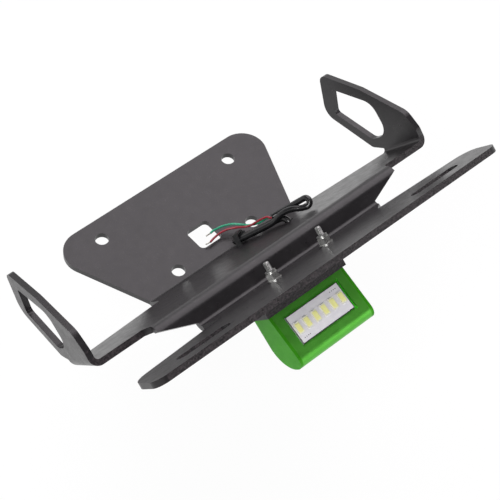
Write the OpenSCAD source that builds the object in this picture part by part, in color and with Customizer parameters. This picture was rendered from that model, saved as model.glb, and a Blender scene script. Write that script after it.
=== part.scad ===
// Tail tidy with number-plate lamp: one folded steel sheet, a small LED lamp and its cable.
// X is across the bike, Y points from the bar towards the main plate's wide edge, Z is up from the
// plate as pictured. The origin is on the plate's lower face, midway between the two near fixing holes.

/* [Sheet] */
// sheet thickness
sheet_t = 3; // [2:0.5:4]
// inside radius of every fold
bend_in = 2; // [1.5:0.5:3]

/* [Main plate] */
// length from the first fold to the wide edge
plate_len = 54; // [45:0.5:70]
// width at the first fold
plate_near_w = 90.4; // [80:0.2:110]
// width that the sides would reach at the wide edge
plate_far_w = 134.6; // [115:0.2:160]
// radius of the two wide-edge corners
plate_corner_r = 12; // [6:0.5:16]
// diameter of the four fixing holes
fix_hole_d = 6.8; // [5.5:0.1:8.5]
// spacing of the two far fixing holes
far_pitch = 80.4; // [60:0.2:90]
// distance of the far holes from the wide edge
far_edge_gap = 10.9; // [8:0.1:16]
// spacing of the two near fixing holes
near_pitch = 46.8; // [36:0.2:60]
// distance of the near holes from the first fold
near_hole_y = 6; // [5.5:0.1:12]
// side of the square cable opening
square_w = 13; // [8:0.5:18]
// centre of the square opening from the first fold
square_y = 14.6; // [12:0.2:30]
// corner radius of the square opening
square_r = 2.5; // [1:0.1:4]

/* [Strip and arms] */
// rise of the strip above the plate, in degrees
strip_angle = 53; // [40:1:65]
// width of the strip from the first fold to the ridge
strip_w = 55; // [48:0.5:70]
// width across the ridge
ridge_len = 144; // [130:1:170]
// where the arms' far edges start, from the first fold
arm_far_s = 9.2; // [7:0.1:14]
// width of each arm at its ear
arm_w = 29; // [22:0.5:32]
// where the ear folds start, from the first fold
ear_fold_s = 17; // [14:0.5:22]
// distance between the ears' inner faces at the first fold's line
ear_gap = 191; // [170:1:230]
// lean of the ear folds from square, in degrees
ear_lean = 4.5; // [0:0.5:12]

/* [Ears] */
// reach of each ear from the strip's face to its tip
ear_reach = 48.4; // [38:0.2:60]
// reach of each ear's window
window_reach = 39; // [30:0.5:48]
// diameter of the cable hole in the strip, under the bundle
cable_hole_d = 4.4; // [3.8:0.1:6]

/* [Flange and bar] */
// fall of the flange from the ridge, in degrees
flange_angle = 28; // [10:1:40]
// height of the flange
flange_h = 11.3; // [10:0.1:20]
// width of the flange at the bar's fold
fold_w = 108; // [90:0.5:130]
// width of the neck where the bar's wings start
neck_w = 95; // [80:0.2:110]
// rise of the bar, in degrees
bar_angle = 53; // [40:1:65]
// length of the number-plate bar
bar_len = 201.4; // [180:0.2:240]
// width of the bar from its fold
bar_w = 41; // [36:0.5:56]
// where the bar's wings start, from its fold
wing_s = 9.4; // [8:0.1:14]
// how much the wings taper over their length
wing_taper = 7.8; // [0:0.1:12]
// distance between the slots' centres
slot_pitch = 137.4; // [120:0.2:160]
// overall length of each slot
slot_len = 28.6; // [15:0.2:40]
// width of each slot
slot_w = 6.5; // [5:0.1:8.5]
// distance of the slots from the bar's fold
slot_s = 29.4; // [24:0.2:40]

/* [Lamp] */
// width of the lamp over its end plates
lamp_w = 45.8; // [40:0.2:60]
// thickness of each end plate
end_t = 1.5; // [1:0.1:3]
// depth of the lamp body from the mounting block to its nose
lamp_depth = 27; // [22:0.5:40]
// height of the lamp body at the mounting block
lamp_h = 13.8; // [12:0.2:20]
// tilt of the lamp's face from square to the bar, in degrees
face_tilt = 16.2; // [0:0.2:25]
// radius of the nose under the lamp
nose_r = 13; // [6:0.5:15]
// radius of the lip at the face's outer edge
lip_r = 4.5; // [2:0.1:6]
// width of the mounting block
mount_w = 48; // [44:0.5:60]
// thickness of the mounting block between the bar and the lamp
mount_t = 12; // [9:0.5:16]
// thickness of the mounting block's foot, which takes the screws
foot_t = 6; // [5:0.5:8]
// top of the foot from the bar's fold
foot_top_s = 13; // [12:0.5:20]
// spacing of the two screws
screw_pitch = 31.2; // [24:0.2:38]
// distance of the screws from the bar's fold
screw_s = 8.5; // [7.5:0.1:11]
// thread diameter of the screws
screw_d = 3; // [2.5:0.5:4]
// how far the screws stand out of the bar
screw_out = 8.8; // [7:0.1:14]

/* [Circuit board] */
// length of the circuit board
pcb_w = 31.8; // [26:0.2:36]
// width of the circuit board
pcb_h = 14.5; // [12:0.1:18]
// spacing of the LEDs
led_pitch = 5.3; // [4.5:0.1:6]
// length of one LED
led_l = 5.6; // [3:0.1:6]
// width of one LED
led_w = 3; // [2:0.1:3.6]

/* [Cable] */
// diameter of the lamp cable
cable_d = 3; // [2.5:0.1:3.6]
// length of the bundled spare cable
hank_len = 46; // [40:1:56]
// width of the bundle, two cables side by side
hank_w = 6.4; // [5:0.2:8]
// height of the bundle with the cable's end on top
hank_t = 6.8; // [6:0.2:8]
// turn of the bundle on the strip, in degrees
hank_turn = 48; // [30:1:60]
// centre of the bundle across the bike
hank_x = 21.6; // [18:0.1:30]
// centre of the bundle up the strip
hank_s = 18.6; // [18.4:0.1:26]
// diameter of each coloured lead
lead_d = 1.1; // [0.8:0.1:1.6]
// where the cable leaves the mounting block, across the bike
cable_x = 8; // [-20:0.5:20]
// diameter of the cable's gland at the mounting block
gland_d = 6; // [5:0.2:8]
// length of the gland
gland_h = 4.5; // [3:0.5:6]

/* [Hidden] */
$fn = 96;

bend_out = bend_in + sheet_t;
turn_in = strip_angle + flange_angle;
turn_out = bar_angle + flange_angle;
td_plate = bend_in * tan(strip_angle / 2);
td_ridge = bend_out * tan(turn_in / 2);
td_bar = bend_in * tan(turn_out / 2);
base_y = -near_hole_y;
base_z = sheet_t;
ridge_y = base_y - strip_w * cos(strip_angle);
ridge_z = base_z + strip_w * sin(strip_angle);
fold_y = ridge_y - flange_h * cos(flange_angle);
fold_z = ridge_z - flange_h * sin(flange_angle);
flange_end = flange_h - td_bar;
far_hole_y = plate_len - far_edge_gap;
ear_x = ear_gap / 2;
ear_end_p = ear_fold_s + arm_w;
wing_corner_r = 9;
side_s = 2.65;
bar_corner_r = 6;
clear = 0.3;
washer_t = 0.5;
nut_body = 2.9;
nut_collar = 1.1;
nut_h = nut_body + nut_collar;
head_h = 3;
head_d = 5.5;
pcb_t = 1;
pcb_drop = 0.5;
pocket_gap = 0.9;
led_t = 0.7;
join = 0.02;
skin = 0.002;
lamp_top_d = sheet_t + mount_t;
foot_d = sheet_t + foot_t;
face_s = -2.25;
face_f = 11.5;
mount_low_s = face_s - lamp_h + 2.5;
band_t = 0.8;
under_t = 4.2;
over_t = 5.6;
exit_d = sheet_t + mount_t / 2;
tie_w = 2.6;
tie_a = 4 - hank_len / 2;
lead_a = 1;
hole_a = 8;
hole_side = -1.5;
hole_x = hank_x + hole_a * cos(hank_turn) + hole_side * sin(hank_turn);
hole_s = hank_s + hole_a * sin(hank_turn) - hole_side * cos(hank_turn);

function unit(v) = v / norm(v);
function half_angle(a, v, b) = acos(unit(a - v) * unit(b - v)) / 2;

// the sliver between a corner and the arc that rounds it
module corner_cut(a, v, b, r) {
    u1 = unit(a - v);
    u2 = unit(b - v);
    h = half_angle(a, v, b);
    c = v + unit(u1 + u2) * r / sin(h);
    difference() {
        polygon([v + u1 * r / tan(h), v + (v - c) * 0.4, v + u2 * r / tan(h), c]);
        translate(c) circle(r + skin);
    }
}

// an outline whose corner i is rounded to radii[i]
module rounded(pts, radii) {
    n = len(pts);
    difference() {
        polygon(pts);
        for (i = [0:n - 1])
            if (radii[i] > 0)
                corner_cut(pts[(i + n - 1) % n], pts[i], pts[(i + 1) % n], radii[i]);
    }
}

// a fold: part of a tube along X, seen in the Y-Z plane
module fold(cy, cz, start, sweep, w) {
    translate([-w / 2 - skin, cy, cz]) rotate([90, 0, 90]) rotate([0, 0, start])
        rotate_extrude(angle = sweep) translate([bend_in - skin, 0]) square([sheet_t + 2 * skin, w + 2 * skin]);
}

module in_strip() translate([0, base_y, base_z]) rotate([-strip_angle, 0, 0]) children();
module in_flange() translate([0, ridge_y, ridge_z]) rotate([flange_angle, 0, 0]) children();
module in_bar() translate([0, fold_y, fold_z]) rotate([-bar_angle, 0, 0]) children();
module in_ear() in_strip() translate([ear_x, 0, 0]) rotate([0, 0, ear_lean]) children();
// local Y runs back towards the bar along the lamp's face, local Z points out of the face
module in_face() in_bar() translate([0, -face_s, -lamp_top_d]) rotate([90 - face_tilt, 0, 0]) children();
module both_sides() {
    children();
    mirror([1, 0, 0]) children();
}

module slot_2d(l, w) {
    square([l - w, w], center = true);
    for (x = [-1, 1]) translate([x * (l - w) / 2, 0]) circle(d = w);
}

module main_plate() {
    hn = plate_near_w / 2;
    hf = plate_far_w / 2;
    translate([0, base_y, 0]) linear_extrude(sheet_t) difference() {
        rounded(
            [[hn - join / 2, td_plate - join], [hf, plate_len], [-hf, plate_len], [join / 2 - hn, td_plate - join]],
            [0, plate_corner_r, plate_corner_r, 0]);
        for (x = [-1, 1]) {
            translate([x * far_pitch / 2, far_hole_y]) circle(d = fix_hole_d);
            translate([x * near_pitch / 2, near_hole_y]) circle(d = fix_hole_d);
        }
        translate([0, square_y]) rounded(
            [[1, 1] * square_w / 2, [-1, 1] * square_w / 2, [-1, -1] * square_w / 2, [1, -1] * square_w / 2],
            [square_r, square_r, square_r, square_r]);
    }
}

// a point of the ear's frame, p along the fold and o outwards, in the strip's flat frame
function ear_pt(o, p) = [ear_x + o * cos(ear_lean) + p * sin(ear_lean), o * sin(ear_lean) - p * cos(ear_lean)];

module strip_panel() {
    hn = plate_near_w / 2;
    hr = ridge_len / 2;
    a = ear_pt(join - bend_in, ear_fold_s + join);
    b = ear_pt(join - bend_in, ear_end_p - join);
    half = [[hn, join - td_plate], [hn, -arm_far_s], a, b, [hr + 2.5, td_ridge - strip_w + 4.8],
        [hr - join, td_ridge - strip_w - join]];
    in_strip() translate([0, 0, -sheet_t]) linear_extrude(sheet_t) difference() {
        polygon(concat(half, [for (i = [5:-1:0]) [-half[i][0], half[i][1]]]));
        translate([hole_x, -hole_s]) circle(d = cable_hole_d);
    }
}

module ear() {
    p0 = ear_fold_s;
    p1 = ear_end_p;
    r = ear_reach;
    w = window_reach;
    in_ear() {
        translate([-bend_in, -p1, bend_in]) rotate([-90, 0, 0])
            rotate_extrude(angle = 90) translate([bend_in - skin, 0]) square([sheet_t + 2 * skin, p1 - p0]);
        rotate([90, 0, 90]) linear_extrude(sheet_t) difference() {
            rounded([[-p0 - join, bend_in - join], [7.5 - p0, 0.087 * r], [29.3 - p0, 0.589 * r], [18.4 - p0, r],
                [-p0 - 5, 0.7 * r], [2 - p1, 0.32 * r], [-p1 - 0.5, 0.124 * r], [join - p1, bend_in - join]],
                [0, 4, 8, 4, 0, 8, 6, 0]);
            rounded([[22.1 - p0, 0.692 * w], [14.8 - p0, w], [-p0 - 8.3, 0.654 * w], [-p0 - 8.3, 0.205 * w],
                [4.5 - p0, 0.205 * w]], [2.5, 1, 9, 7, 5]);
        }
    }
}

module flange() {
    hr = ridge_len / 2;
    hk = fold_w / 2;
    difference() {
        union() {
            fold(ridge_y + td_ridge * cos(strip_angle) - bend_out * sin(strip_angle),
                ridge_z - td_ridge * sin(strip_angle) - bend_out * cos(strip_angle),
                90 - strip_angle, turn_in, ridge_len);
            in_flange() translate([-hr, -flange_end - join, -sheet_t])
                cube([ridge_len, flange_end - td_ridge + 2 * join, sheet_t]);
        }
        both_sides() in_flange() translate([0, 0, -sheet_t - 8]) linear_extrude(sheet_t + 12)
            polygon([[hr + 1, -side_s], [hk - join / 2, -flange_end], [hk - 3, -flange_end - 1.5],
                [hr + 9, -flange_end - 1.5], [hr + 9, -side_s]]);
    }
    fold(fold_y + td_bar * cos(flange_angle) - bend_in * sin(flange_angle),
        fold_z + td_bar * sin(flange_angle) + bend_in * cos(flange_angle),
        270 - bar_angle, turn_out, fold_w);
}

module bar() {
    hb = bar_len / 2;
    half = [[(fold_w - join) / 2, join - td_bar], [neck_w / 2, -wing_s],
        [hb, -wing_s - wing_taper], [hb, -bar_w]];
    in_bar() translate([0, 0, -sheet_t]) linear_extrude(sheet_t) difference() {
        rounded(concat(half, [for (i = [3:-1:0]) [-half[i][0], half[i][1]]]),
            [0, 0, wing_corner_r, bar_corner_r, bar_corner_r, wing_corner_r, 0, 0]);
        for (x = [-1, 1]) {
            translate([x * slot_pitch / 2, -slot_s]) slot_2d(slot_len, slot_w);
            translate([x * screw_pitch / 2, -screw_s]) circle(d = screw_d + 2 * clear);
        }
    }
}

module bracket() color("#1b1b1d") {
    main_plate();
    fold(base_y + td_plate, base_z + bend_in, 270 - strip_angle, strip_angle, plate_near_w);
    strip_panel();
    both_sides() ear();
    flange();
    bar();
}

module lamp_mount() color("#151515") in_bar() difference() {
    union() {
        translate([-mount_w / 2, 0, -lamp_top_d]) cube([mount_w, -mount_low_s, mount_t]);
        translate([-mount_w / 2, -foot_top_s, -foot_d]) cube([mount_w, foot_top_s, foot_t]);
    }
    for (x = [-1, 1]) translate([x * screw_pitch / 2, -screw_s, 0]) {
        translate([0, 0, -foot_d - 1]) cylinder(d = screw_d + 2 * clear, h = foot_d + 2);
        translate([0, 0, -foot_d - 1]) cylinder(d = head_d + 2 * clear, h = head_h + 1);
    }
}

// the lamp's section: flat face, rounded lip, large rounded nose
module lamp_section() {
    nose = lamp_top_d + lamp_depth;
    rise = lamp_depth * tan(face_tilt);
    low = face_s - lamp_h;
    rounded([[-face_s, -lamp_top_d], [-face_s - rise, -nose], [-low - 1.5, -nose], [-low, -lamp_top_d]],
        [0, lip_r, nose_r, 0]);
}

module lamp_body() color("#2e8b20") difference() {
    in_bar() translate([end_t - lamp_w / 2, 0, 0]) rotate([90, 0, 90])
        linear_extrude(lamp_w - 2 * end_t) lamp_section();
    in_face() translate([0, -face_f, -pcb_drop - pcb_t]) linear_extrude(pcb_t + 5)
        square([pcb_w + 2 * pocket_gap, pcb_h + 2 * pocket_gap], center = true);
}

module lamp_end(side) color("#36a026") in_bar()
    translate([side > 0 ? lamp_w / 2 - end_t : -lamp_w / 2, 0, 0]) rotate([90, 0, 90])
        linear_extrude(end_t) lamp_section();

module lamp_pcb() color("#e4e2ea") in_face() translate([-pcb_w / 2, -face_f - pcb_h / 2, -pcb_drop - pcb_t])
    cube([pcb_w, pcb_h, pcb_t]);

module led(i) color("#efe58a") in_face()
    translate([(i - 3.5) * led_pitch - led_w / 2, -face_f - led_l / 2, -pcb_drop])
        cube([led_w, led_l, led_t]);

module at_screw(side) in_bar() translate([side * screw_pitch / 2, -screw_s, 0]) children();

module screw(side) color("#b8bab8") at_screw(side) {
    translate([0, 0, head_h - foot_d]) cylinder(d = screw_d, h = foot_d - head_h + screw_out);
    translate([0, 0, -foot_d]) difference() {
        cylinder(d = head_d, h = head_h);
        translate([0, 0, -1]) cylinder(d = 2.9, h = 2.6, $fn = 6);
    }
}

module washer(side) color("#c4c6c4") at_screw(side) difference() {
    cylinder(d = screw_d * 2.33, h = washer_t);
    translate([0, 0, -1]) cylinder(d = screw_d + 2 * clear, h = washer_t + 2);
}

module nut(side) color("#b0b2b0") at_screw(side) translate([0, 0, washer_t]) difference() {
    union() {
        intersection() {
            cylinder(d = screw_d * 2.117, h = nut_body, $fn = 6);
            translate([0, 0, -4.6]) cylinder(r1 = 9.5, r2 = 2, h = 9.5);
        }
        cylinder(d = screw_d * 1.72, h = nut_h);
    }
    translate([0, 0, -1]) cylinder(d = screw_d + 2 * clear, h = nut_h + 2);
}

// a round tube of radius r that follows pts, with n sides
function frame_at(pts, i, side) = let (
        a = pts[max(i - 1, 0)], b = pts[min(i + 1, len(pts) - 1)], t = unit(b - a), u = unit(cross(side, t)))
    [u, cross(t, u)];
module tube(pts, r, side = [0, 0, 1], n = 8) {
    m = len(pts);
    ring = [for (i = [0:m - 1]) let (f = frame_at(pts, i, side)) for (k = [0:n - 1])
        pts[i] + r * (cos(360 * k / n) * f[0] + sin(360 * k / n) * f[1])];
    walls = [for (i = [0:m - 2]) for (k = [0:n - 1])
        let (a = i * n + k, b = i * n + (k + 1) % n) each [[a, b, b + n], [a, b + n, a + n]]];
    ends = [[for (k = [0:n - 1]) n - 1 - k], [for (k = [0:n - 1]) (m - 1) * n + k]];
    polyhedron(ring, [for (f = concat(walls, ends)) [for (k = [len(f) - 1:-1:0]) f[k]]]);
}
// a smooth curve through way points, k steps between two of them
function mid_way(p, i, t) = let (
        a = p[max(i - 1, 0)], b = p[i], c = p[i + 1], d = p[min(i + 2, len(p) - 1)])
    0.5 * (2 * b + (c - a) * t + (2 * a - 5 * b + 4 * c - d) * t * t + (3 * b - a - 3 * c + d) * t * t * t);
function smooth(p, k) = concat(
    [for (i = [0:len(p) - 2]) for (j = [0:k - 1]) mid_way(p, i, j / k)],
    [p[len(p) - 1]]);

// a point of the strip's frame, s up the strip and m out of its face
function on_strip(x, s, m) = [x, base_y + m * sin(strip_angle) - s * cos(strip_angle),
    base_z + s * sin(strip_angle) + m * cos(strip_angle)];
// a point of the bar's frame, s up the bar and d behind its front face
function on_bar(x, s, d) = [x, fold_y - s * cos(bar_angle) - d * sin(bar_angle),
    fold_z + s * sin(bar_angle) - d * cos(bar_angle)];

// a point of the bundle: a along it, side towards the plate, m off the strip
function on_hank(a, side, m) = on_strip(hank_x + a * cos(hank_turn) + side * sin(hank_turn),
    hank_s + a * sin(hank_turn) - side * cos(hank_turn), m);

// a point over the plate, y from the first fold and h above its upper face
function on_plate(x, y, h) = [x, base_y + y, base_z + h];

cable_way = [
    on_bar(cable_x, mount_low_s, exit_d),
    on_bar(cable_x, mount_low_s - gland_h / 2, exit_d),
    on_bar(cable_x + 0.1, mount_low_s - gland_h, exit_d),
    on_plate(11, -38, 13.4),
    on_plate(15.5, -34, 10.2),
    on_plate(20.5, -29.5, 9.2),
    on_plate(24.3, -25, 10.6),
    on_strip(hole_x, hole_s, -6.5),
    on_strip(hole_x, hole_s, -sheet_t),
    on_strip(hole_x, hole_s, -1),
    on_strip(hole_x, hole_s, band_t)];
lead_m = band_t + over_t - cable_d / 2;
red_way = [
    on_hank(lead_a + 1, 0, lead_m),
    on_hank(lead_a - 1, 0, lead_m),
    on_plate(21, -5.3, 17),
    on_plate(18.9, -2.2, 12.5),
    on_plate(16.7, 0.4, 8),
    on_plate(14.3, 2.6, 6.5),
    on_plate(12.1, 5.4, 5),
    on_plate(9.2, 7.5, 4),
    on_plate(5.5, 8.7, 3.2),
    on_plate(1.2, 8.5, 2.8),
    on_plate(-1.9, 7.9, 2.4)];
green_way = [
    on_hank(lead_a + 1, 1.2, lead_m - 0.5),
    on_hank(lead_a - 1, 1.3, lead_m - 0.4),
    on_hank(lead_a - 3.5, 2.7, lead_m + 0.2),
    on_plate(21.1, -3.2, 12),
    on_plate(19.5, -1.3, 9),
    on_plate(17.1, 2, 6.2),
    on_plate(15.4, 5, 5),
    on_plate(12.4, 8.4, 4.4),
    on_plate(8.5, 10.5, 4),
    on_plate(5.2, 11.5, 3.4),
    on_plate(3.4, 11.9, 3),
    on_plate(1.4, 11.8, 2.6)];
function tip_way(w, v) = let (e = w[len(w) - 1]) [e, e + v * 0.5, e + v];
red_tip_way = tip_way(red_way, [-2.5, 0.6, -0.6]);
green_tip_way = tip_way(green_way, [-2.5, 0.3, -0.6]);

module cable_gland() color("#161616") in_bar()
    translate([cable_x, -mount_low_s, -exit_d]) rotate([-90, 0, 0]) difference() {
        cylinder(d1 = gland_d, d2 = gland_d * 0.72, h = gland_h);
        translate([0, 0, -1]) cylinder(d = cable_d + 2 * clear, h = gland_h + 2);
    }

module cable() color("#141414") tube(smooth(cable_way, 3), cable_d / 2, [1, 0, 0]);

module in_hank() in_strip() translate([hank_x, -hank_s, 0]) rotate([0, 0, -hank_turn]) children();

// the bundle's outline from its side: doubled cable below, the cable's end looped over it
module hank_2d() {
    translate([0, band_t + under_t / 2]) slot_2d(hank_len, under_t);
    translate([(hank_len - hank_t) / 2, band_t + hank_t / 2]) circle(d = hank_t);
    turn = (hank_len - hank_t) / 2;
    low = band_t + under_t / 2;
    polygon([[lead_a, low], [turn, low], [turn, band_t + hank_t - 0.3], [lead_a, band_t + over_t]]);
}

module cable_hank() color("#101010") in_hank() translate([0, hank_w / 2, 0]) rotate([90, 0, 0])
    linear_extrude(hank_w) hank_2d();

module cable_tie() color("#0c0c0c") in_hank() translate([tie_a - tie_w / 2, 0, 0]) {
    difference() {
        translate([0, -hank_w / 2 - band_t, 0]) cube([tie_w, hank_w + 2 * band_t, under_t + 2 * band_t]);
        translate([-1, -hank_w / 2, band_t]) cube([tie_w + 2, hank_w, under_t]);
    }
    translate([-0.6, hank_w / 2 + band_t - join, 1.9]) cube([tie_w + 1.2, 2.2, 2.4]);
    translate([0.1, hank_w / 2 + band_t + 0.6, 2.2]) cube([tie_w - 0.2, 1, 2.9]);
}

module red_wire() color("#8e1420") tube(smooth(red_way, 3), lead_d / 2);
module green_wire() color("#178a5c") tube(smooth(green_way, 3), lead_d / 2);
module red_tip() color("#b9b3a6") tube(red_tip_way, lead_d * 0.3);
module green_tip() color("#b9b3a6") tube(green_tip_way, lead_d * 0.3);

bracket();
lamp_mount();
lamp_body();
lamp_end(-1);  // lamp_end_left
lamp_end(1);  // lamp_end_right
lamp_pcb();
led(1);  // led_1
led(2);  // led_2
led(3);  // led_3
led(4);  // led_4
led(5);  // led_5
led(6);  // led_6
screw(-1);  // screw_left
screw(1);  // screw_right
washer(-1);  // washer_left
washer(1);  // washer_right
nut(-1);  // nut_left
nut(1);  // nut_right
cable_gland();
cable();
cable_hank();
cable_tie();
red_wire();
green_wire();
red_tip();
green_tip();
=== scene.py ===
"""Looks of a folded-steel tail tidy with its number-plate lamp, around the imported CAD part.

Metres throughout, in the part's own frame: X across the bike, Y from the bar towards the main
plate's wide edge, Z up from the plate, with the origin between the two near fixing holes.
"""

import math

import bpy
from mathutils import Matrix, Vector


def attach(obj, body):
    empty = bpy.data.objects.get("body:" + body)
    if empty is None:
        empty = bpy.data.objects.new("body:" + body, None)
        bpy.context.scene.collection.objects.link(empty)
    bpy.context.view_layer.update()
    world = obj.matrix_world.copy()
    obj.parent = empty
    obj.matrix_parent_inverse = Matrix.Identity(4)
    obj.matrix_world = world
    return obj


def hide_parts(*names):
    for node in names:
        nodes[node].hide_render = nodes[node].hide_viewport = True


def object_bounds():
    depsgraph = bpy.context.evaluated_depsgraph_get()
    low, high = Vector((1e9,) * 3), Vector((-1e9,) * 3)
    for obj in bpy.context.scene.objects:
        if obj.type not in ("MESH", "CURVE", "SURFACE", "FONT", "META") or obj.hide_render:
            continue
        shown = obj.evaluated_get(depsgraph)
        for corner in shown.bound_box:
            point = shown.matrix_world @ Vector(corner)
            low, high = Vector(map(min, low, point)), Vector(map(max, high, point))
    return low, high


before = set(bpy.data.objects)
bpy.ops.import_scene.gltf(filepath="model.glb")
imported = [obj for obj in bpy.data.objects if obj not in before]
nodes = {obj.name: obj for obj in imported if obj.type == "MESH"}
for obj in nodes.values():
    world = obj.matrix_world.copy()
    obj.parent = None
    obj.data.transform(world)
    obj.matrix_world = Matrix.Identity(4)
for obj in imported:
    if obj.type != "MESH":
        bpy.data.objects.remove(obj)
cad_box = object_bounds()

# camera
CAMERA_AT = Vector((-0.32302, -0.32418, 0.61993))
CAMERA_AIM = Vector((0.00189, -0.02094, 0.02))
CAMERA_ROLL = math.radians(6.658)
CAMERA_LENS = 114.92
SENSOR = 36


def add_camera():
    """The camera at the photograph's viewing angle."""
    data = bpy.data.cameras.new("photo_camera")
    data.sensor_width = SENSOR
    data.lens = CAMERA_LENS
    data.clip_start = 0.01
    camera = bpy.data.objects.new("photo_camera", data)
    look = (CAMERA_AIM - CAMERA_AT).to_track_quat("-Z", "Y")
    camera.rotation_mode = "QUATERNION"
    camera.rotation_quaternion = look @ Matrix.Rotation(CAMERA_ROLL, 3, "Z").to_quaternion()
    camera.location = CAMERA_AT
    bpy.context.collection.objects.link(camera)
    bpy.context.scene.camera = camera


add_camera()

# places on the folded sheet
SHEET_T = 0.003
NEAR_HOLE_Y = 0.006
STRIP_ANGLE = math.radians(53)
STRIP_W = 0.055
FLANGE_ANGLE = math.radians(28)
FLANGE_H = 0.0113
BAR_ANGLE = math.radians(53)

BASE = Matrix.Translation((0, -NEAR_HOLE_Y, SHEET_T))
STRIP = BASE @ Matrix.Rotation(-STRIP_ANGLE, 4, "X")
FLANGE = STRIP @ Matrix.Translation((0, -STRIP_W, 0)) @ Matrix.Rotation(STRIP_ANGLE + FLANGE_ANGLE, 4, "X")
BAR = FLANGE @ Matrix.Translation((0, -FLANGE_H, 0)) @ Matrix.Rotation(-FLANGE_ANGLE - BAR_ANGLE, 4, "X")


def on_plate(x, y, h):
    """A point over the main plate, y from the first fold and h above its upper face."""
    return BASE @ Vector((x, y, h))


def on_bar(x, s, d):
    """A point of the bar, s up it from its fold and d behind its front face."""
    return BAR @ Vector((x, -s, -d))


# cords
CABLE_D = 0.003
LEAD_D = 0.0011
CABLE_X = 0.008
MOUNT_LOW_S = -0.01355
MOUNT_MID_D = 0.009
GLAND_H = 0.0045
HANK_X = 0.0216
HANK_S = 0.0186
HANK_TURN = math.radians(48)
HANK_LEN = 0.046
HANK_T = 0.0068
OVER_T = 0.0056
BAND_T = 0.0008
HOLE_A = 0.008
HOLE_SIDE = -0.0015
LEAD_A = 0.001

RUN_SIDE = 0.00165
RUN_M = BAND_T + CABLE_D / 2
LEAD_M = BAND_T + OVER_T - CABLE_D / 2
LOOP_SHIFT = 0.0023
CABLE_RINGS = 200
LEFT_TURN_A = RUN_SIDE + CABLE_D / 2 - HANK_LEN / 2
RIGHT_TURN_A = (HANK_LEN - HANK_T) / 2
HANK = STRIP @ Matrix.Translation((HANK_X, -HANK_S, 0)) @ Matrix.Rotation(-HANK_TURN, 4, "Z")


def on_hank(a, side, m):
    """A point of the bundle, a along it, side towards the plate and m off the strip."""
    return HANK @ Vector((a, side, m))


def smooth(points, steps):
    """A curve through the points, steps between two of them, as part.scad draws it."""
    line = []
    for i in range(len(points) - 1):
        a, b, c = points[max(i - 1, 0)], points[i], points[i + 1]
        d = points[min(i + 2, len(points) - 1)]
        for j in range(steps):
            t = j / steps
            square, cube = 2 * a - 5 * b + 4 * c - d, 3 * b - a - 3 * c + d
            line.append(0.5 * (2 * b + (c - a) * t + square * t**2 + cube * t**3))
    return line + [points[-1]]


def even(points, count):
    """The line through the points as count points at even distances along it."""
    total = line_length(points)
    line, done, i = [points[0]], 0.0, 0
    for k in range(1, count - 1):
        want = total * k / (count - 1)
        while done + (points[i + 1] - points[i]).length < want:
            done += (points[i + 1] - points[i]).length
            i += 1
        step = points[i + 1] - points[i]
        line.append(points[i] + step * ((want - done) / step.length))
    return line + [points[-1]]


def line_length(points):
    return sum((b - a).length for a, b in zip(points, points[1:]))


def cord_piece(name, points, diameter, sides=16):
    """A round cord as a closed mesh swept along the points, without twist."""
    rings, faces = [], []
    across = None
    for k, at in enumerate(points):
        ahead = (points[min(k + 1, len(points) - 1)] - points[max(k - 1, 0)]).normalized()
        across = ahead.orthogonal() if across is None else across - ahead * across.dot(ahead)
        across.normalize()
        up = ahead.cross(across)
        for i in range(sides):
            turn = 2 * math.pi * i / sides
            rings.append(at + (across * math.cos(turn) + up * math.sin(turn)) * (diameter / 2))
    for k in range(len(points) - 1):
        for i in range(sides):
            a, b = k * sides + i, k * sides + (i + 1) % sides
            faces.append((a, b, b + sides, a + sides))
    faces += [tuple(range(sides - 1, -1, -1)), tuple(range(len(rings) - sides, len(rings)))]
    data = bpy.data.meshes.new(name)
    data.from_pydata(rings, [], faces)
    for face in data.polygons:
        face.use_smooth = len(face.vertices) == 4
    piece = bpy.data.objects.new(name, data)
    bpy.context.collection.objects.link(piece)
    return piece


def arc(centre, start, across, count, shift=Vector((0, 0, 0))):
    """Points of a half turn about a centre, from start through across, moving sideways by shift."""
    line = []
    for k in range(count + 1):
        turn = math.pi * k / count
        line.append(centre + start * math.cos(turn) + across * math.sin(turn) + shift * (k / count))
    return line


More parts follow.
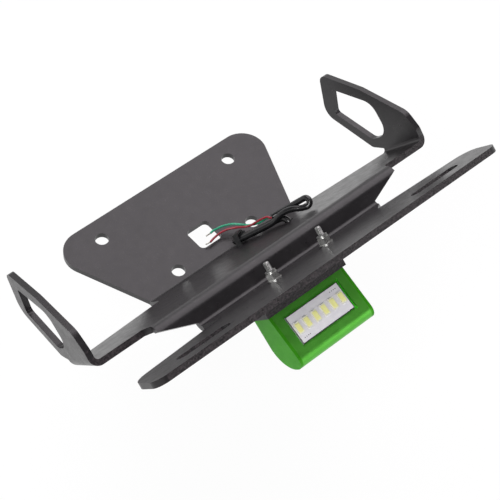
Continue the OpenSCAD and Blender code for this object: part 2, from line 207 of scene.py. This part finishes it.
def cable_points():
    """From the lamp's mounting block, up through the strip, then folded into the bundle."""
    low = MOUNT_LOW_S
    rise = [
        on_bar(CABLE_X, low, MOUNT_MID_D),
        on_bar(CABLE_X, low - GLAND_H / 2, MOUNT_MID_D),
        on_bar(CABLE_X + 0.0001, low - GLAND_H, MOUNT_MID_D),
        on_plate(0.011, -0.038, 0.0134),
        on_plate(0.0155, -0.034, 0.0102),
        on_plate(0.0205, -0.0295, 0.0092),
        on_plate(0.0243, -0.025, 0.0106),
        on_hank(HOLE_A, HOLE_SIDE, -0.0065),
        on_hank(HOLE_A, HOLE_SIDE, -0.003),
        on_hank(HOLE_A - 0.0001, HOLE_SIDE, -0.0005),
        on_hank(HOLE_A - 0.0012, -0.0009, 0.0014),
        on_hank(HOLE_A - 0.0034, 0.0001, 0.0023),
        on_hank(HOLE_A - 0.0065, 0.0012, RUN_M),
        on_hank(HOLE_A - 0.0105, RUN_SIDE, RUN_M),
        on_hank(HOLE_A - 0.016, RUN_SIDE, RUN_M),
        on_hank(HOLE_A - 0.022, RUN_SIDE, RUN_M),
        on_hank(LEFT_TURN_A, RUN_SIDE, RUN_M),
    ]
    along, across, out = (HANK.to_3x3() @ Vector(axis) for axis in ((1, 0, 0), (0, 1, 0), (0, 0, 1)))
    left = arc(on_hank(LEFT_TURN_A, 0, RUN_M), across * RUN_SIDE, along * -RUN_SIDE, 8)
    over = [
        left[-1],
        on_hank(-0.0145, -RUN_SIDE, RUN_M),
        on_hank(-0.009, -RUN_SIDE, RUN_M),
        on_hank(-0.004, -RUN_SIDE, RUN_M),
        on_hank(0.001, -RUN_SIDE, 0.0027),
        on_hank(0.005, -0.0017, 0.0042),
        on_hank(0.009, -0.0017, 0.0048),
        on_hank(0.013, -0.0017, 0.0042),
        on_hank(0.0165, -RUN_SIDE, 0.0029),
        on_hank(RIGHT_TURN_A, -RUN_SIDE, RUN_M),
    ]
    radius = (HANK_T - CABLE_D) / 2
    loop_centre = on_hank(RIGHT_TURN_A, -RUN_SIDE, BAND_T + HANK_T / 2)
    right = arc(loop_centre, out * -radius, along * radius, 10, across * LOOP_SHIFT)
    back = [
        right[-1],
        on_hank(0.0155, 0.0011, 0.0058),
        on_hank(0.0105, 0.0013, 0.0054),
        on_hank(0.0055, 0.0009, 0.0051),
        on_hank(LEAD_A, 0, LEAD_M),
    ]
    line = smooth(rise, 6)[:-1] + left[:-1] + smooth(over, 6)[:-1] + right[:-1] + smooth(back, 6)
    return even(line, CABLE_RINGS)


RED_WAY = [
    on_hank(LEAD_A + 0.001, 0, LEAD_M),
    on_hank(LEAD_A - 0.001, 0, LEAD_M),
    on_plate(0.021, -0.0053, 0.017),
    on_plate(0.0189, -0.0022, 0.0125),
    on_plate(0.0167, 0.0004, 0.008),
    on_plate(0.0143, 0.0026, 0.0065),
    on_plate(0.0121, 0.0054, 0.005),
    on_plate(0.0092, 0.0075, 0.004),
    on_plate(0.0055, 0.0087, 0.0032),
    on_plate(0.0012, 0.0085, 0.0028),
    on_plate(-0.0019, 0.0079, 0.0024),
]
GREEN_WAY = [
    on_hank(LEAD_A + 0.001, 0.0012, LEAD_M - 0.0005),
    on_hank(LEAD_A - 0.001, 0.0013, LEAD_M - 0.0004),
    on_hank(LEAD_A - 0.0035, 0.0027, LEAD_M + 0.0002),
    on_plate(0.0211, -0.0032, 0.012),
    on_plate(0.0195, -0.0013, 0.009),
    on_plate(0.0171, 0.002, 0.0062),
    on_plate(0.0154, 0.005, 0.005),
    on_plate(0.0124, 0.0084, 0.0044),
    on_plate(0.0085, 0.0105, 0.004),
    on_plate(0.0052, 0.0115, 0.0034),
    on_plate(0.0034, 0.0119, 0.003),
    on_plate(0.0014, 0.0118, 0.0026),
]


def add_cords():
    """The lamp's cable and the two leads that come out of its end."""
    way = cable_points()
    cable = cord_piece("lamp_cable", way, CABLE_D)
    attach(cable, "root")
    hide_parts("cable", "cable_hank")
    leads = []
    for colour, route in (("red", RED_WAY), ("green", GREEN_WAY)):
        way = smooth(route, 4)
        lead = cord_piece(f"{colour}_lead", way, LEAD_D)
        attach(lead, "root")
        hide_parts(f"{colour}_wire")
        leads.append(lead)
    return cable, *leads


cable, red_lead, green_lead = add_cords()


# materials
class Surface:
    """A Principled material with its textures in the part's own coordinates."""

    def __init__(self, name, **sockets):
        self.material = bpy.data.materials.new(name)
        self.material.use_nodes = True
        self.tree = self.material.node_tree
        self.shader = self.tree.nodes["Principled BSDF"]
        self.place = self.tree.nodes.new("ShaderNodeTexCoord").outputs["Object"]
        for socket, value in sockets.items():
            self.shader.inputs[socket.replace("_", " ")].default_value = value

    def link(self, source, socket):
        self.tree.links.new(source, socket)

    def noise(self, size, detail=2.0, roughness=0.5, stretch=None):
        """Noise whose features are about size metres across."""
        node = self.tree.nodes.new("ShaderNodeTexNoise")
        node.inputs["Scale"].default_value = 1 / size
        node.inputs["Detail"].default_value = detail
        node.inputs["Roughness"].default_value = roughness
        place = self.place
        if stretch:
            mapping = self.tree.nodes.new("ShaderNodeMapping")
            mapping.inputs["Scale"].default_value = stretch
            self.link(place, mapping.inputs["Vector"])
            place = mapping.outputs["Vector"]
        self.link(place, node.inputs["Vector"])
        return node.outputs["Fac"]

    def cells(self, size, feature="F1"):
        """Distance to scattered points about size metres apart."""
        node = self.tree.nodes.new("ShaderNodeTexVoronoi")
        node.feature = feature
        node.inputs["Scale"].default_value = 1 / size
        self.link(self.place, node.inputs["Vector"])
        return node.outputs["Distance"]

    def ramp(self, value, stops):
        """A ramp of (position, level or colour) stops."""
        node = self.tree.nodes.new("ShaderNodeValToRGB")
        marks = node.color_ramp.elements
        while len(marks) < len(stops):
            marks.new(0.5)
        for mark, (position, level) in zip(marks, stops):
            mark.position = position
            mark.color = (*level, 1) if isinstance(level, tuple) else (level, level, level, 1)
        self.link(value, node.inputs["Fac"])
        return node.outputs["Color"]

    def mix(self, share, first, second):
        """First colour where share is 0, second where it is 1."""
        node = self.tree.nodes.new("ShaderNodeMix")
        node.data_type = "RGBA"
        for source, socket in ((share, node.inputs[0]), (first, node.inputs[6]), (second, node.inputs[7])):
            if isinstance(source, tuple):
                socket.default_value = (*source, 1)
            else:
                self.link(source, socket)
        return node.outputs[2]

    def bump(self, height, distance, strength=1.0, below=None):
        """A bump of height times distance metres, on top of the bump below."""
        node = self.tree.nodes.new("ShaderNodeBump")
        node.inputs["Distance"].default_value = distance
        node.inputs["Strength"].default_value = strength
        self.link(height, node.inputs["Height"])
        if below:
            self.link(below, node.inputs["Normal"])
        return node.outputs["Normal"]

    def facing(self, direction, low, high):
        """1 where the surface faces a direction, falling to 0 between two cosines."""
        dot = self.tree.nodes.new("ShaderNodeVectorMath")
        dot.operation = "DOT_PRODUCT"
        dot.inputs[1].default_value = direction
        self.link(self.tree.nodes.new("ShaderNodeTexCoord").outputs["Normal"], dot.inputs[0])
        share = self.tree.nodes.new("ShaderNodeMapRange")
        share.inputs["From Min"].default_value = low
        share.inputs["From Max"].default_value = high
        self.link(dot.outputs["Value"], share.inputs["Value"])
        return share.outputs[0]

    def product(self, first, second):
        node = self.tree.nodes.new("ShaderNodeMath")
        node.operation = "MULTIPLY"
        self.link(first, node.inputs[0])
        self.link(second, node.inputs[1])
        return node.outputs[0]

    def finish(self, colour=None, roughness=None, normal=None):
        """Connects the textures to the shader and returns the material."""
        for source, socket in ((colour, "Base Color"), (roughness, "Roughness"), (normal, "Normal")):
            if source:
                self.link(source, self.shader.inputs[socket])
        return self.material


def rough_cut(s, colour, below):
    """Coarse pits over a colour and a bump, on the faces that look up the bar."""
    cut = s.facing((0, -math.cos(BAR_ANGLE), math.sin(BAR_ANGLE)), 0.992, 0.997)
    pits = s.noise(0.001, 3, 0.65)
    colour = s.mix(cut, colour, s.ramp(pits, [(0.38, (0.006, 0.005, 0.006)), (0.62, (0.036, 0.029, 0.032))]))
    return colour, s.bump(s.product(cut, pits), 0.00022, 0.8, below)


def powder_coat():
    """Black powder coat: fine orange peel, faint cloudiness, pale specks and rubs, rough over cut edges."""
    s = Surface("powder_coat", IOR=1.46)
    cloud = s.ramp(s.noise(0.02, 3), [(0.3, (0.0074, 0.0062, 0.0074)), (0.72, (0.0120, 0.0102, 0.0118))])
    speck = s.ramp(s.cells(0.0011), [(0.06, 1.0), (0.16, 0.0)])
    rub = s.ramp(s.noise(0.006, 5, 0.7, (1.0, 1.6, 1.0)), [(0.66, 0.0), (0.76, 1.0)])
    colour = s.mix(speck, cloud, (0.042, 0.040, 0.044))
    colour = s.mix(rub, colour, (0.033, 0.032, 0.035))
    rough = s.ramp(s.noise(0.004, 4, 0.6), [(0.3, 0.27), (0.7, 0.37)])
    peel = s.bump(s.noise(0.0016, 2), 0.00003, 0.5)
    grain = s.bump(s.noise(0.00045, 3, 0.6), 0.00003, 0.6, peel)
    colour, normal = rough_cut(s, colour, grain)
    return s.finish(colour, rough, normal)


def black_plastic():
    """Moulded black plastic with a spark-eroded grain."""
    s = Surface("black_plastic", IOR=1.46)
    colour = s.ramp(s.noise(0.008, 3), [(0.3, (0.010, 0.010, 0.011)), (0.7, (0.018, 0.018, 0.019))])
    rough = s.ramp(s.noise(0.002, 3), [(0.3, 0.46), (0.7, 0.6)])
    grain = s.bump(s.noise(0.0003, 3, 0.7), 0.00003, 0.8)
    colour, normal = rough_cut(s, colour, grain)
    return s.finish(colour, rough, normal)


def green_anodised(name, low, high, metallic=0.8, specular=0.5):
    """Bright green anodised aluminium, slightly rippled."""
    s = Surface(name, Metallic=metallic, Specular_IOR_Level=specular)
    colour = s.ramp(s.noise(0.007, 3), [(0.25, low), (0.75, high)])
    rough = s.ramp(s.noise(0.002, 3), [(0.3, 0.34), (0.7, 0.46)])
    ripple = s.bump(s.noise(0.0024, 2), 0.00005, 0.5)
    flake = s.bump(s.noise(0.0003, 2), 0.000012, 0.5, ripple)
    return s.finish(colour, rough, flake)


def board_mask():
    """White solder mask with a faint lilac cast and buried tracks."""
    s = Surface("board_mask", IOR=1.5)
    tint = s.ramp(s.noise(0.004, 3), [(0.3, (0.74, 0.72, 0.77)), (0.7, (0.82, 0.80, 0.84))])
    rough = s.ramp(s.noise(0.0012, 2), [(0.3, 0.34), (0.7, 0.5)])
    tracks = s.bump(s.ramp(s.noise(0.0021, 1), [(0.48, 0.0), (0.54, 1.0)]), 0.00002, 0.6)
    return s.finish(tint, rough, tracks)


def led_case():
    """Cream moulded case of a surface-mount LED."""
    s = Surface("led_case", IOR=1.5)
    colour = s.ramp(s.noise(0.0012, 2), [(0.3, (0.78, 0.76, 0.60)), (0.7, (0.86, 0.84, 0.70))])
    rough = s.ramp(s.noise(0.0006, 2), [(0.3, 0.35), (0.7, 0.5)])
    return s.finish(colour, rough, s.bump(s.noise(0.0002, 2), 0.00001, 0.6))


def led_phosphor():
    """Yellow phosphor under clear silicone."""
    s = Surface("led_phosphor", IOR=1.41, Coat_Weight=0.6, Coat_Roughness=0.08)
    colour = s.ramp(s.noise(0.0007, 3), [(0.25, (0.90, 0.87, 0.27)), (0.75, (0.94, 0.93, 0.46))])
    rough = s.ramp(s.noise(0.0004, 2), [(0.3, 0.3), (0.7, 0.45)])
    return s.finish(colour, rough, s.bump(s.noise(0.00025, 2), 0.00001, 0.6))


def plated(name, low, high, roughness=(0.2, 0.36)):
    """Bright plated metal with fine marks and a slight cloud."""
    s = Surface(name, Metallic=1.0)
    colour = s.ramp(s.noise(0.0015, 4, 0.6), [(0.3, low), (0.7, high)])
    rough = s.ramp(s.noise(0.0007, 3, 0.6), [(0.3, roughness[0]), (0.7, roughness[1])])
    marks = s.bump(s.noise(0.00035, 3, 0.7, (1.0, 1.0, 4.0)), 0.000015, 0.7)
    return s.finish(colour, rough, marks)


def sheath(name, low, high, roughness=(0.3, 0.45), ripple=0.00002):
    """Extruded plastic insulation: soft sheen and a faint ripple."""
    s = Surface(name, IOR=1.5)
    colour = s.ramp(s.noise(0.003, 3), [(0.3, low), (0.7, high)])
    rough = s.ramp(s.noise(0.0012, 3), [(0.3, roughness[0]), (0.7, roughness[1])])
    wave = s.bump(s.noise(0.0013, 2), ripple, 0.7)
    return s.finish(colour, rough, s.bump(s.noise(0.0003, 2), ripple / 3, 0.6, wave))


COAT = powder_coat()
PLASTIC = black_plastic()
GREEN = green_anodised("green_anodised", (0.090, 0.400, 0.040), (0.110, 0.465, 0.054))
GREEN_END = green_anodised("green_anodised_end", (0.034, 0.250, 0.006), (0.048, 0.300, 0.010), 0.2, 0.12)
BOARD = board_mask()
CASE = led_case()
PHOSPHOR = led_phosphor()
ZINC = plated("zinc", (0.46, 0.46, 0.45), (0.64, 0.64, 0.62), (0.22, 0.38))
SCREW = plated("screw_zinc", (0.24, 0.24, 0.24), (0.38, 0.38, 0.37), (0.22, 0.38))
TIN = plated("tinned_copper", (0.48, 0.44, 0.38), (0.70, 0.66, 0.60))
SOLDER = plated("solder", (0.80, 0.80, 0.81), (0.90, 0.90, 0.91), (0.5, 0.65))
SHEATH = sheath("sheath_black", (0.005, 0.005, 0.006), (0.010, 0.010, 0.011), (0.18, 0.30))
TIE = sheath("tie_black", (0.007, 0.007, 0.008), (0.012, 0.012, 0.013), (0.35, 0.5), 0.00003)
RED = sheath("lead_red", (0.20, 0.012, 0.024), (0.29, 0.020, 0.036))
LEAD_GREEN = sheath("lead_green", (0.012, 0.24, 0.13), (0.020, 0.34, 0.19))
INK = sheath("mark_ink", (0.03, 0.03, 0.04), (0.06, 0.06, 0.07), (0.5, 0.6), 0.00001)

NODE_MATERIALS = {
    "bracket": COAT,
    "lamp_mount": PLASTIC,
    "lamp_body": GREEN,
    "lamp_end_left": GREEN_END,
    "lamp_end_right": GREEN_END,
    "lamp_pcb": BOARD,
    "screw_left": SCREW,
    "screw_right": SCREW,
    "washer_left": ZINC,
    "washer_right": ZINC,
    "nut_left": ZINC,
    "nut_right": ZINC,
    "cable_gland": TIE,
    "cable_tie": TIE,
    "red_tip": TIN,
    "green_tip": TIN,
}


def dress(piece, material):
    piece.data.materials.clear()
    piece.data.materials.append(material)


for node, material in NODE_MATERIALS.items():
    dress(nodes[node], material)
for i in range(1, 7):
    dress(nodes[f"led_{i}"], CASE)
for piece, material in ((cable, SHEATH), (red_lead, RED), (green_lead, LEAD_GREEN)):
    dress(piece, material)


# small visible parts
FACE_TILT = math.radians(16.2)
FACE_S = -0.00225
FACE_F = 0.0115
LAMP_TOP_D = 0.015
PCB_W = 0.0318
PCB_H = 0.0145
PCB_DROP = 0.0005
# width and thickness of the thin black strips of painted shade round the board
SHADE_STRIP_W = 0.00036
SHADE_STRIP_T = 0.0001
LED_PITCH = 0.0053
LED_L = 0.0056
LED_T = 0.0007
FACE = BAR @ Matrix.Translation((0, -FACE_S, -LAMP_TOP_D)) @ Matrix.Rotation(math.pi / 2 - FACE_TILT, 4, "X")


def mesh_piece(name, points, faces, material):
    """A smooth-shaded mesh that rides with the part."""
    data = bpy.data.meshes.new(name)
    data.from_pydata(points, [], faces)
    data.validate()
    for face in data.polygons:
        face.use_smooth = True
    piece = bpy.data.objects.new(name, data)
    bpy.context.collection.objects.link(piece)
    dress(piece, material)
    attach(piece, "root")
    return piece


def cushion(at, width, length, rise, corner, matrix):
    """Points and faces of a low dome on a rounded rectangle centred on at, in matrix's frame."""
    outline = []
    for quarter, (sx, sy) in enumerate(((1, 1), (-1, 1), (-1, -1), (1, -1))):
        for step in range(5):
            turn = math.radians(90 * quarter + 22.5 * step)
            outline.append((sx * (width / 2 - corner) + corner * math.cos(turn),
                            sy * (length / 2 - corner) + corner * math.sin(turn)))
    rings = [(1.0, 0.0), (1.0, 0.5), (0.95, 0.8), (0.8, 0.96), (0.45, 1.0)]
    points = [matrix @ (Vector(at) + Vector((x * k, y * k, rise * h))) for k, h in rings for x, y in outline]
    n = len(outline)
    faces = [(r * n + i, r * n + (i + 1) % n, (r + 1) * n + (i + 1) % n, (r + 1) * n + i)
             for r in range(len(rings) - 1) for i in range(n)]
    faces += [tuple(range(n - 1, -1, -1)), tuple(range((len(rings) - 1) * n, len(rings) * n))]
    return points, faces


def cushions(name, spots, material, matrix=FACE):
    """One piece of several low domes, each spot (at, width, length, rise, corner)."""
    points, faces = [], []
    for spot in spots:
        more, added = cushion(*spot, matrix)
        faces += [tuple(len(points) + k for k in face) for face in added]
        points += more
    return mesh_piece(name, points, faces, material)


def add_lamp_details():
    """Phosphor windows, solder joints at the LEDs' ends, plain dots on the board, and thin black strips
    round the board's edge: painted shade of the gap between board and body.
    """
    top = LED_T - PCB_DROP
    joints = []
    for i in range(6):
        x = (i - 2.5) * LED_PITCH
        window = [((x, -FACE_F, top), 0.0024, 0.0045, 0.00012, 0.0006)]
        cushions(f"led_window_{i + 1}", window, PHOSPHOR)
        joints += [((x, -FACE_F + end * (LED_L / 2 + 0.0002), -PCB_DROP), 0.0020, 0.0005, 0.0003, 0.0002)
                   for end in (-1, 1)]
    cushions("solder_joints", joints, SOLDER)
    dots = []
    for end in (-1, 1):
        for k in range(4):
            at = (end * (PCB_W / 2 - 0.0025 - 0.0011 * k), -FACE_F + end * (PCB_H / 2 - 0.0022), -PCB_DROP)
            dots.append((at, 0.00045, 0.00045, 0.00003, 0.0002))
    cushions("board_dots", dots, INK)
    # thin black strips round the board's edge: painted shade of the gap between the board and the lamp
    # body's recess
    sides = [((0, -FACE_F + end * (PCB_H - SHADE_STRIP_W) / 2, -PCB_DROP), PCB_W, SHADE_STRIP_W, SHADE_STRIP_T, SHADE_STRIP_T)
             for end in (-1, 1)]
    sides += [((end * (PCB_W - SHADE_STRIP_W) / 2, -FACE_F, -PCB_DROP), SHADE_STRIP_W, PCB_H - 2 * SHADE_STRIP_W, SHADE_STRIP_T, SHADE_STRIP_T)
              for end in (-1, 1)]
    cushions("board_gap_shade", sides, TIE)


add_lamp_details()

SCREW_PITCH = 0.0312
SCREW_S = 0.0085
SCREW_R = 0.0015
SCREW_OUT = 0.0088
THREAD_PITCH = 0.0005
THREAD_DEPTH = 0.00027
TIP_CHAMFER = 0.00045
HEAD_H = 0.003
HEAD_R = 0.00275
HEAD_EDGE = 0.0003
FOOT_D = 0.009
SOCKET_R = 0.00145
SOCKET_DEPTH = 0.0016
SEGMENTS = 36


def hexagon(turn, corner_r):
    """Radius of a hexagon at an angle."""
    return corner_r * math.cos(math.pi / 6) / math.cos((turn + math.pi / 6) % (math.pi / 3) - math.pi / 6)


def thread_radius(turn, z, tip):
    """Radius of the thread's crest and root at an angle and height, with a chamfered tip."""
    phase = (z / THREAD_PITCH - turn / (2 * math.pi)) % 1
    radius = SCREW_R - THREAD_DEPTH * abs(2 * phase - 1)
    return min(radius, SCREW_R - TIP_CHAMFER + (tip - z))


def screw_piece(side):
    """A socket-head machine screw with its real thread, in the place of the plain CAD one."""
    name = "left" if side < 0 else "right"
    place = BAR @ Matrix.Translation((side * SCREW_PITCH / 2, -SCREW_S, 0))
    foot, neck = -FOOT_D, HEAD_H - FOOT_D
    rows = [
        (foot + SOCKET_DEPTH, lambda t: hexagon(t, SOCKET_R)),
        (foot, lambda t: hexagon(t, SOCKET_R)),
        (foot, lambda t: HEAD_R - HEAD_EDGE),
        (foot + HEAD_EDGE, lambda t: HEAD_R),
        (neck, lambda t: HEAD_R),
    ]
    steps = 6 * round((SCREW_OUT - neck) / THREAD_PITCH)
    for k in range(steps + 1):
        z = neck + (SCREW_OUT - neck) * k / steps
        rows.append((z, lambda t, z=z: thread_radius(t, z, SCREW_OUT)))
    points = []
    for z, radius in rows:
        for k in range(SEGMENTS):
            turn = 2 * math.pi * k / SEGMENTS
            points.append(place @ Vector((radius(turn) * math.cos(turn), radius(turn) * math.sin(turn), z)))
    faces = []
    for r in range(len(rows) - 1):
        for k in range(SEGMENTS):
            a, b = r * SEGMENTS + k, r * SEGMENTS + (k + 1) % SEGMENTS
            faces.append((a, b, b + SEGMENTS, a + SEGMENTS))
    last = (len(rows) - 1) * SEGMENTS
    faces += [tuple(range(SEGMENTS - 1, -1, -1)), tuple(range(last, last + SEGMENTS))]
    piece = mesh_piece(f"screw_{name}_threaded", points, faces, SCREW)
    sharp = piece.modifiers.new("edges", "EDGE_SPLIT")
    sharp.split_angle = math.radians(38)
    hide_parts(f"screw_{name}")


for side in (-1, 1):
    screw_piece(side)

# floor, light and background
FLOOR_DROP = 0.09
FLOOR_SIZE = 6.0
WALL_TOP = 0.3
WALL_FADE = 0.25
CEILING = 0.2
FLOOR_GLOW = 0.92


def add_floor():
    """A plain white floor below the part."""
    bpy.ops.mesh.primitive_plane_add(size=FLOOR_SIZE, location=(0, 0, cad_box[0][2] - FLOOR_DROP))
    floor = bpy.context.object
    floor.name = "floor"
    material = bpy.data.materials.new("floor_white")
    material.use_nodes = True
    tree = material.node_tree
    shader = tree.nodes["Principled BSDF"]
    shader.inputs["Base Color"].default_value = (0.9, 0.9, 0.9, 1)
    shader.inputs["Roughness"].default_value = 0.9
    glow = tree.nodes.new("ShaderNodeEmission")
    path = tree.nodes.new("ShaderNodeLightPath")
    seen = seen_ray(tree, path)
    share = tree.nodes.new("ShaderNodeMath")
    share.operation = "MULTIPLY"
    share.inputs[1].default_value = FLOOR_GLOW
    tree.links.new(seen, share.inputs[0])
    blend = tree.nodes.new("ShaderNodeMixShader")
    tree.links.new(share.outputs[0], blend.inputs[0])
    tree.links.new(shader.outputs[0], blend.inputs[1])
    tree.links.new(glow.outputs[0], blend.inputs[2])
    tree.links.new(blend.outputs[0], tree.nodes["Material Output"].inputs["Surface"])
    dress(floor, material)


def seen_ray(tree, path):
    """1 for a ray that shows the background: from the camera, a reflection or through glass."""
    total = path.outputs["Is Camera Ray"]
    for name in ("Is Glossy Ray", "Is Transmission Ray"):
        most = tree.nodes.new("ShaderNodeMath")
        most.operation = "MAXIMUM"
        tree.links.new(total, most.inputs[0])
        tree.links.new(path.outputs[name], most.inputs[1])
        total = most.outputs[0]
    return total


def add_world(ceiling):
    """White walls to some way above the horizon, and a dimmer ceiling where the camera doesn't see it."""
    world = bpy.data.worlds.new("studio")
    bpy.context.scene.world = world
    world.use_nodes = True
    tree = world.node_tree
    background = tree.nodes["Background"]
    background.inputs["Color"].default_value = (1, 1, 1, 1)
    height = tree.nodes.new("ShaderNodeSeparateXYZ")
    tree.links.new(tree.nodes.new("ShaderNodeTexCoord").outputs["Generated"], height.inputs[0])
    wall = tree.nodes.new("ShaderNodeMapRange")
    wall.inputs["From Min"].default_value = WALL_TOP
    wall.inputs["From Max"].default_value = WALL_TOP + WALL_FADE
    wall.inputs["To Min"].default_value = 1.0
    wall.inputs["To Max"].default_value = ceiling
    tree.links.new(height.outputs["Z"], wall.inputs["Value"])
    strength = tree.nodes.new("ShaderNodeMath")
    strength.operation = "MAXIMUM"
    tree.links.new(wall.outputs[0], strength.inputs[0])
    tree.links.new(tree.nodes.new("ShaderNodeLightPath").outputs["Is Camera Ray"], strength.inputs[1])
    tree.links.new(strength.outputs[0], background.inputs["Strength"])


def add_softbox(name, at, target, size, radiance, tint=(1, 1, 1)):
    """An area light at a place, aimed at a target, of one radiance all over its face."""
    data = bpy.data.lights.new(name, "AREA")
    data.shape = "RECTANGLE"
    data.size, data.size_y = size
    data.energy = radiance * math.pi * size[0] * size[1]
    data.color = tint
    light = bpy.data.objects.new(name, data)
    light.location = at
    light.rotation_euler = (Vector(target) - Vector(at)).to_track_quat("-Z", "Y").to_euler()
    bpy.context.collection.objects.link(light)


add_floor()
add_world(CEILING)
add_softbox("overhead", (0.52, 0.49, 0.97), (0, 0, 0), (1.2, 1.2), 2.6, (1, 0.94, 0.985))
add_softbox("front_right", (0.62, -0.80, 0.26), (0.08, -0.07, 0.05), (0.3, 0.6), 2.2)
add_softbox("fill_left", (-0.72, -0.32, 1.04), (0, -0.02, 0.02), (0.5, 0.5), 12.5)

bpy.context.scene.view_settings.view_transform = "Standard"
